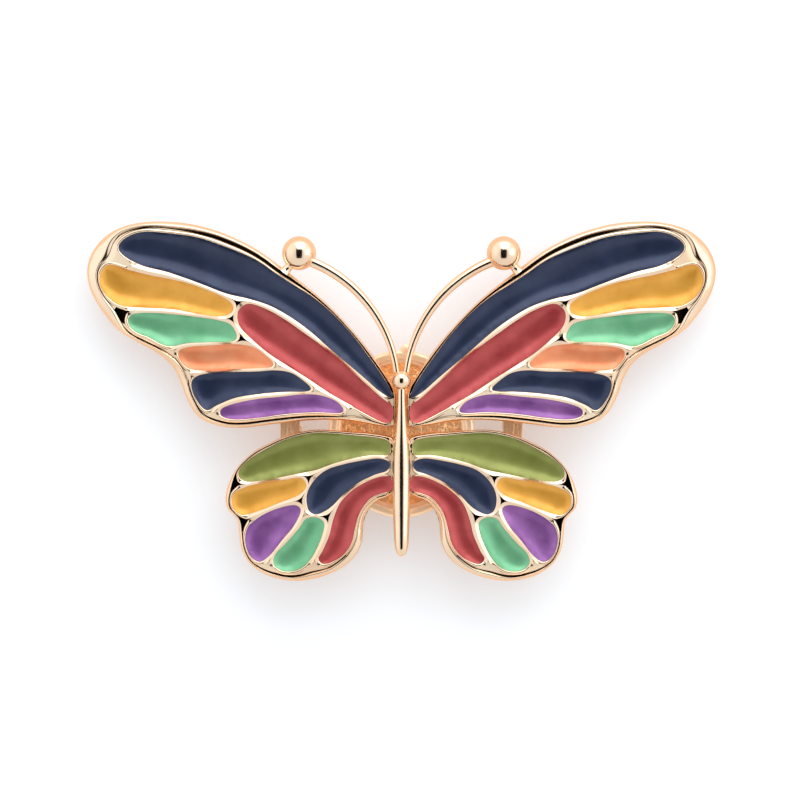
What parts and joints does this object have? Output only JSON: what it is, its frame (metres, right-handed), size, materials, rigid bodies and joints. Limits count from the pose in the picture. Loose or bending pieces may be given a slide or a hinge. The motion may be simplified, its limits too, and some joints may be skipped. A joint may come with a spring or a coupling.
{
  "type": "brooch",
  "caption": "Butterfly brooch with plated metal wings, recessed enamel cells, ball-ended antennae, an oval back plate and a hinged pin with a rotating safety catch.",
  "frame": {"origin": "on the closed pin's axis, at the brooch's midline", "axes": "+X along the wingspan to the viewer's right, +Y towards the wearer's garment, +Z towards the head"},
  "size_m": [0.065, 0.009, 0.037],
  "materials": {
    "gold": "polished rose-gold plating",
    "pin_steel": "polished plated wire",
    "navy_enamel": "pearly enamel",
    "crimson_enamel": "pearly enamel",
    "amber_enamel": "pearly enamel",
    "mint_enamel": "pearly enamel",
    "coral_enamel": "pearly enamel",
    "violet_enamel": "pearly enamel",
    "olive_enamel": "pearly enamel"
  },
  "bodies": {
    "brooch": {"left_forewing": "gold", "left_fore_navy_long": "navy_enamel", "left_fore_crimson": "crimson_enamel", "left_fore_amber": "amber_enamel", "left_fore_mint": "mint_enamel", "left_fore_coral": "coral_enamel", "left_fore_navy_short": "navy_enamel", "left_fore_violet": "violet_enamel", "right_forewing": "gold", "right_fore_navy_long": "navy_enamel", "right_fore_crimson": "crimson_enamel", "right_fore_amber": "amber_enamel", "right_fore_mint": "mint_enamel", "right_fore_coral": "coral_enamel", "right_fore_navy_short": "navy_enamel", "right_fore_violet": "violet_enamel", "left_hindwing": "gold", "left_hind_olive": "olive_enamel", "left_hind_navy": "navy_enamel", "left_hind_crimson": "crimson_enamel", "left_hind_amber": "amber_enamel", "left_hind_violet": "violet_enamel", "left_hind_mint": "mint_enamel", "right_hindwing": "gold", "right_hind_olive": "olive_enamel", "right_hind_navy": "navy_enamel", "right_hind_crimson": "crimson_enamel", "right_hind_amber": "amber_enamel", "right_hind_violet": "violet_enamel", "right_hind_mint": "mint_enamel", "body": "gold", "head": "gold", "left_antenna_wire": "gold", "left_antenna_ball": "gold", "left_antenna_tie": "gold", "right_antenna_wire": "gold", "right_antenna_ball": "gold", "right_antenna_tie": "gold", "back_plate": "gold", "pin_bar": "gold", "hinge_bracket": "gold", "hinge_rivet": "gold", "catch_shell": "gold"},
    "pin": {"pin_hinge_tube": "gold", "pin_stem": "pin_steel"},
    "catch": {"catch_lever": "gold"}
  },
  "joints": [
    {"name": "pin_swing", "type": "hinge", "parent": "brooch", "child": "pin", "pos_m": [0.0113, 0, 0], "axis": [0, 0, -1], "range_deg": [0, 100]},
    {"name": "catch_turn", "type": "hinge", "parent": "brooch", "child": "catch", "pos_m": [-0.0114, 0, 0], "axis": [1, 0, 0], "range_deg": [0, 110]}
  ]
}
